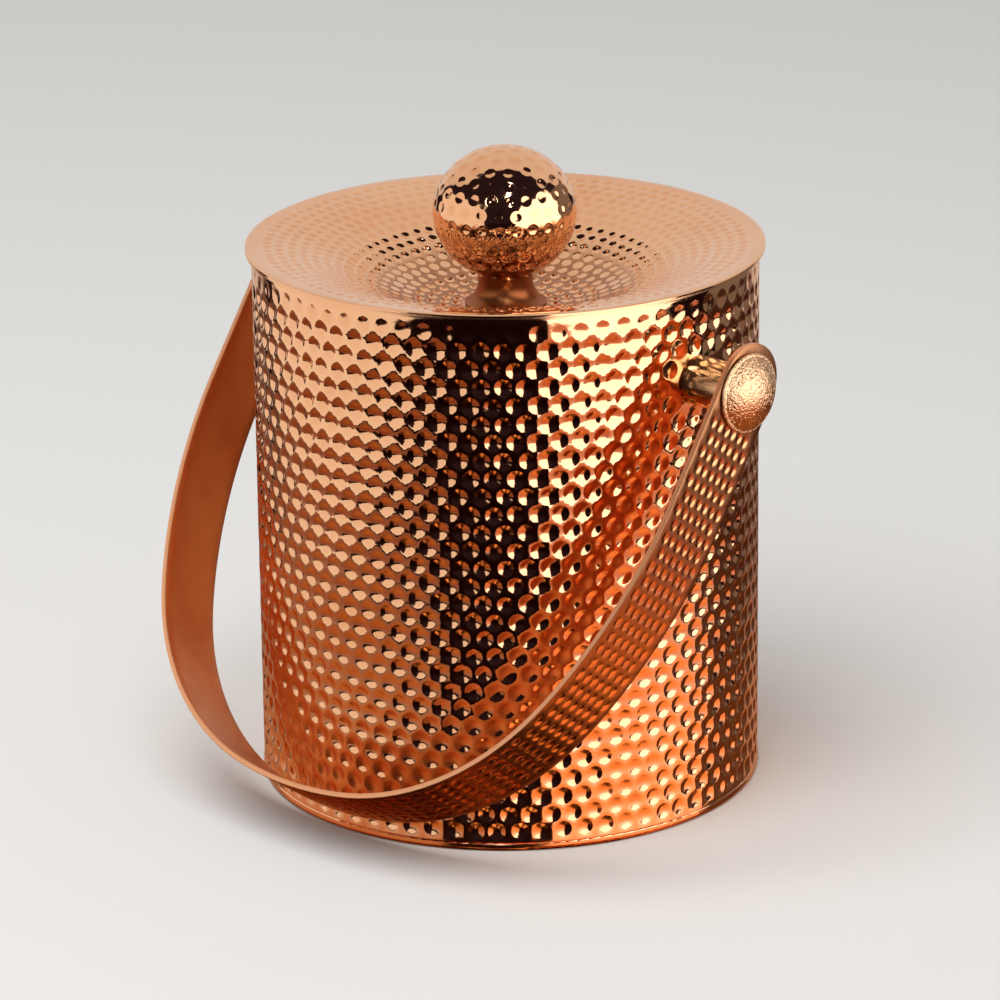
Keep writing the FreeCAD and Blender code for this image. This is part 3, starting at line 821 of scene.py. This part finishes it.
class BUCKET_OT_caps(Operator):
    """Crinkled caps over the two pivots"""

    bl_idname = "bucket.caps"
    bl_label = "Pivot Caps"

    around = 240              # points round the lip
    up = 76                   # rings from the lip to the top of the dome
    fewest = 8                # points in the topmost ring
    twist = 0.4               # turn from one ring to the next, so that no seam runs up the dome
    rounding = 0.3 * MM       # rounding of the lip
    hidden_share = 0.4        # innermost ring behind the lip, as a share of its radius
    crease = 0.56 * MM        # width of the larger crinkles
    fineness = 2.3            # smaller crinkles to the larger ones
    sharpness = 1.6

    def execute(self, context):
        crinkle = context.scene.bucket_sizes.cap_crinkle
        for side, name in ((1, "right"), (-1, "left")):
            bm = new_mesh("bowl")
            self.make(bm, crinkle, side)
            piece = make_piece(bm, f"domed_cap_{name}", "bucket", "cap_metal")
            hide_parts(f"cap_{name}")
        return {"FINISHED"}

    def make(self, bm, crinkle, side):
        """Lip and dome turned about Z, crinkled, then laid on the pivot's axis."""
        high = CAP_HIGH.x - CAP_LOW.x - CAP_LIP_T
        ball_r = (CAP_DOME_R ** 2 + high ** 2) / (2 * high)
        widest = math.asin(CAP_DOME_R / ball_r)
        soft = self.rounding
        lip = [(CAP_R * self.hidden_share, 0), (CAP_R - soft, 0), (CAP_R, soft), (CAP_R, CAP_LIP_T - soft),
               (CAP_R - soft, CAP_LIP_T), (CAP_DOME_R, CAP_LIP_T)]
        rings = [(radius, height, self.around, 0) for radius, height in lip]
        low = CAP_LIP_T + high - ball_r
        for step in range(1, self.up):
            turn = widest * (1 - step / self.up)
            count = max(self.fewest, round(self.around * math.sin(turn) / math.sin(widest)))
            rings.append((ball_r * math.sin(turn), low + ball_r * math.cos(turn), count, step * self.twist))
        points = join_rings(bm, rings, closed=False)
        bmesh.ops.edgeloop_fill(bm, edges=[edge for edge in bm.edges if edge.is_boundary])
        bmesh.ops.recalc_face_normals(bm, faces=bm.faces[:])
        bm.normal_update()
        # Each point's depth into a crease goes into the bowl layer, which the cap's finish turns into
        # painted crease shade.
        crease = bm.verts.layers.float["bowl"]
        for ring in points[len(lip):]:
            for v in ring:
                height = self.crinkle_at(v.co, side)
                v[crease] = 1 - height
                v.co += v.normal * crinkle * (height - 1)
        turn = Matrix.Rotation(side * HALF_TURN / 2, 4, "Y")
        place = Matrix.Translation((side * CAP_LOW.x, 0, PIVOT.z)) @ turn
        bmesh.ops.transform(bm, matrix=place, verts=bm.verts[:])

    def crinkle_at(self, point, side):
        """Height from 0 in a crease to 1 on a ridge."""
        place = point / self.crease + Vector((7 * side, 3, 0))
        large = 1 - abs(noise.noise(place)) * self.sharpness
        small = 1 - abs(noise.noise(place * self.fineness)) * self.sharpness
        return max(0.0, min(1.0, 0.65 * large + 0.35 * small))


class BUCKET_OT_finishes(Operator):
    """Finishes of the pieces that keep their CAD shape"""

    bl_idname = "bucket.finishes"
    bl_label = "CAD Finishes"

    def execute(self, context):
        for name, node in frame["nodes"].items():
            for slot in node.material_slots:
                slot.material = FINISH.get(name) or FINISH[slot.material.name]
        return {"FINISHED"}


class BUCKET_OT_stage(Operator):
    """Pale floor, soft light, reflecting cards and camera"""

    bl_idname = "bucket.stage"
    bl_label = "Stage"

    aim = Vector((-2.04, -1.89, 94.83)) * MM
    floor_size = 12
    table_drop = 0.3 * MM     # the reflected table top lies just under the floor

    # Cards that stand on the floor: azimuth, lean, distance, width, height, strength and colour
    standing = (
        ("card_left", -77, -8, 0.45, 0.98, 0.42, 0.90, (1.0, 0.97, 0.92)),
        ("card_right", 54, -10, 0.56, 0.92, 0.54, 2.3, (1.0, 0.96, 0.93)),
        ("card_far_right", 116, 0, 0.62, 0.42, 0.50, 0.20, (1.0, 0.85, 0.75)),
    )

    # Small high cards: azimuth, elevation, lean, width, height and strength
    windows = (
        ("card_window", 8, 56, 25, 0.16, 0.30, 9.0),
        ("card_small_window", -18, 45, -20, 0.14, 0.18, 7.0),
    )
    window_distance = 1.4
    window_colour = (0.80, 0.90, 1.0)

    # Card that slopes down from above the bucket: how far behind and how high its two edges are
    top_edges = ((0.12, 1.25), (1.7, 0.02))
    top_width = 2.4
    top_strength = 0.74
    top_colour = (1.0, 0.96, 0.92)

    light_azimuth = math.radians(-40)
    light_elevation = math.radians(66)
    light_distance = 2.2
    light_size = 2.2
    light_power = 46

    def execute(self, context):
        stage = context.scene.bucket_stage
        self.make_camera(context, stage)
        self.make_floor(stage)
        self.make_cards()
        self.make_light()
        self.make_world(context, stage)
        context.scene.view_settings.view_transform = "Standard"
        return {"FINISHED"}

    def facing(self, azimuth, elevation=0.0):
        """Direction from the bucket, from an azimuth counted from the camera's and an elevation."""
        turn = bpy.context.scene.bucket_stage.azimuth + azimuth
        flat = math.cos(elevation)
        return Vector((math.sin(turn) * flat, -math.cos(turn) * flat, math.sin(elevation)))

    def make_camera(self, context, stage):
        data = bpy.data.cameras.new("camera")
        data.lens = stage.lens
        camera = bpy.data.objects.new("camera", data)
        context.scene.collection.objects.link(camera)
        back = self.facing(0, stage.elevation)
        camera.location = self.aim + back * stage.distance
        camera.rotation_mode = "QUATERNION"
        level = (-back).to_track_quat("-Z", "Y")
        camera.rotation_quaternion = level @ Quaternion((0, 0, 1), stage.roll)
        context.scene.camera = camera

    def add_sheet(self, name, place, width, height, material):
        """A flat sheet facing along its place's Z."""
        bm = bmesh.new()
        bmesh.ops.create_grid(bm, x_segments=1, y_segments=1, size=0.5)
        bmesh.ops.scale(bm, vec=(width, height, 1), verts=bm.verts[:])
        bmesh.ops.transform(bm, matrix=place, verts=bm.verts[:])
        mesh = bpy.data.meshes.new(name)
        bm.to_mesh(mesh)
        bm.free()
        sheet = bpy.data.objects.new(name, mesh)
        bpy.context.scene.collection.objects.link(sheet)
        mesh.materials.append(material)
        return sheet

    def make_floor(self, stage):
        """A pale matt floor, and under it a copper-toned table top that only reflections see."""
        material, nodes = new_material("pale_floor")
        shader = nodes.add("ShaderNodeBsdfPrincipled", inputs={
            "Base Color": opaque(stage.floor), "Roughness": 0.8, "Specular IOR Level": 0.2})
        nodes.add("ShaderNodeOutputMaterial", inputs={"Surface": shader})
        floor = self.add_sheet("floor", Matrix.Identity(4), self.floor_size, self.floor_size, material)
        floor.visible_glossy = False
        material, nodes = new_material("table_tone")
        place = nodes.add("ShaderNodeTexCoord", output="Object")
        away = nodes.add("ShaderNodeVectorMath", {"operation": "LENGTH"}, {0: place}, "Value")
        behind = nodes.add("ShaderNodeVectorMath", {"operation": "DOT_PRODUCT"}, {
            0: place, 1: self.facing(HALF_TURN)}, "Value")
        front = nodes.blend(nodes.band(away, 0.12, 0.32), opaque(stage.table_near), opaque(stage.table_far))
        back = nodes.blend(nodes.band(behind, 0.0, 0.30), front, opaque(stage.table_behind))
        shade = nodes.blend(nodes.band(behind, 0.42, 0.55), back, opaque(stage.table_end))
        shader = nodes.add("ShaderNodeBsdfPrincipled", inputs={
            "Base Color": shade, "Metallic": 1.0, "Roughness": 0.20})
        nodes.add("ShaderNodeOutputMaterial", inputs={"Surface": shader})
        place = Matrix.Translation((0, 0, -self.table_drop))
        table = self.add_sheet("table_tone", place, self.floor_size, self.floor_size, material)
        self.seen_in_reflections_only(table)

    def seen_in_reflections_only(self, thing):
        thing.visible_camera = False
        thing.visible_diffuse = False
        thing.visible_shadow = False
        thing.visible_transmission = False
        thing.visible_volume_scatter = False

    def make_cards(self):
        """Glowing cards that only reflections see."""
        for name, azimuth, lean, distance, width, height, strength, shade in self.standing:
            way = self.facing(math.radians(azimuth))
            centre = way * distance + AXIS_Z * (height / 2)
            self.add_card(name, centre, way, lean, width, height, strength, shade)
        for name, azimuth, elevation, lean, width, height, strength in self.windows:
            way = self.facing(math.radians(azimuth), math.radians(elevation))
            centre = way * self.window_distance
            self.add_card(name, centre, way, lean, width, height, strength, self.window_colour)
        back = self.facing(HALF_TURN)
        high, low = [back * behind + AXIS_Z * height for behind, height in self.top_edges]
        way = (low - high).cross(back.cross(AXIS_Z)).normalized()
        self.add_card("card_top", (high + low) / 2, way, 0, self.top_width, (high - low).length,
                      self.top_strength, self.top_colour)

    def add_card(self, name, centre, way, lean, width, height, strength, shade):
        """Adds a card whose face is square to way, turned in its own plane by lean degrees."""
        material, nodes = new_material(name)
        glow = nodes.add("ShaderNodeEmission", inputs={"Color": opaque(shade), "Strength": strength})
        nodes.add("ShaderNodeOutputMaterial", inputs={"Surface": glow})
        square = way.to_track_quat("-Z", "Y") @ Quaternion((0, 0, 1), math.radians(lean))
        place = Matrix.Translation(centre) @ square.to_matrix().to_4x4()
        self.seen_in_reflections_only(self.add_sheet(name, place, width, height, material))

    def make_light(self):
        data = bpy.data.lights.new("soft_light", "AREA")
        data.size = self.light_size
        data.energy = self.light_power
        light = bpy.data.objects.new("soft_light", data)
        bpy.context.scene.collection.objects.link(light)
        way = self.facing(self.light_azimuth, self.light_elevation)
        light.location = way * self.light_distance
        light.rotation_mode = "QUATERNION"
        light.rotation_quaternion = way.to_track_quat("Z", "Y")
        light.visible_glossy = False
        light.visible_camera = False

    def make_world(self, context, stage):
        """Pale where the camera looks past the floor, soft for the floor's light, dark in reflections."""
        world = bpy.data.worlds.new("surround")
        world.use_nodes = True
        context.scene.world = world
        nodes = Nodes(world.node_tree)
        glossy = nodes.add("ShaderNodeLightPath", output="Is Glossy Ray")
        diffuse = nodes.add("ShaderNodeLightPath", output="Is Diffuse Ray")
        pale = nodes.blend(diffuse, opaque(stage.surround), opaque(stage.ambient))
        shade = nodes.blend(glossy, pale, opaque(stage.dark))
        light = nodes.add("ShaderNodeBackground", inputs={"Color": shade, "Strength": 1.0})
        nodes.add("ShaderNodeOutputWorld", inputs={"Surface": light})


class BUCKET_PT_pieces(Panel):
    """Lists the bucket's pieces in the sidebar"""

    bl_label = "Ice Bucket"
    bl_space_type = "VIEW_3D"
    bl_region_type = "UI"
    bl_category = "Ice Bucket"

    def draw(self, context):
        for step in STEPS:
            self.layout.operator(step.bl_idname)


STEPS = (BUCKET_OT_wall, BUCKET_OT_lid, BUCKET_OT_knob, BUCKET_OT_strap, BUCKET_OT_caps,
         BUCKET_OT_finishes, BUCKET_OT_stage)
GROUPS = (BucketSizes, BucketColours, StageSettings)
FINISH = {}


def make_finishes(colours):
    """One material for each of the record's slots, and one for the knob's neck."""
    copper, deep, hollow = colours.copper, colours.copper_deep, colours.hollow
    FINISH["hammered_copper"] = polished_copper("hammered_finish", copper, deep, hollow, 0.05)
    FINISH["plain_copper"] = polished_copper("polished_finish", copper, deep, hollow, 0.10)
    FINISH["knob_neck"] = polished_copper("neck_finish", colours.neck, colours.strap_deep, hollow, 0.32)
    FINISH["strap_copper"] = satin_copper("strap_finish", colours.strap, colours.strap_deep)
    FINISH["cap_metal"] = crinkled_copper("crinkled_finish", colours.cap, deep)
    FINISH["spacer_metal"] = polished_brass("brass_finish", colours.spacer)
    FINISH["liner_steel"] = edged_steel("brushed_finish", colours.steel, copper)
    FINISH["hardware_steel"] = brushed_steel("hardware_finish", colours.steel, (90, 90, 90))
    FINISH["bush_plastic"] = moulded_plastic("nylon_finish", colours.plastic)


def register():
    for group in (*GROUPS, *STEPS, BUCKET_PT_pieces):
        bpy.utils.register_class(group)
    bpy.types.Scene.bucket_sizes = PointerProperty(type=BucketSizes)
    bpy.types.Scene.bucket_colours = PointerProperty(type=BucketColours)
    bpy.types.Scene.bucket_stage = PointerProperty(type=StageSettings)


def unregister():
    del bpy.types.Scene.bucket_stage
    del bpy.types.Scene.bucket_colours
    del bpy.types.Scene.bucket_sizes
    for group in reversed((*GROUPS, *STEPS, BUCKET_PT_pieces)):
        bpy.utils.unregister_class(group)


def main():
    register()
    make_finishes(bpy.context.scene.bucket_colours)
    for step in STEPS:
        group, name = step.bl_idname.split(".")
        getattr(getattr(bpy.ops, group), name)()


if __name__ == "__main__":
    main()
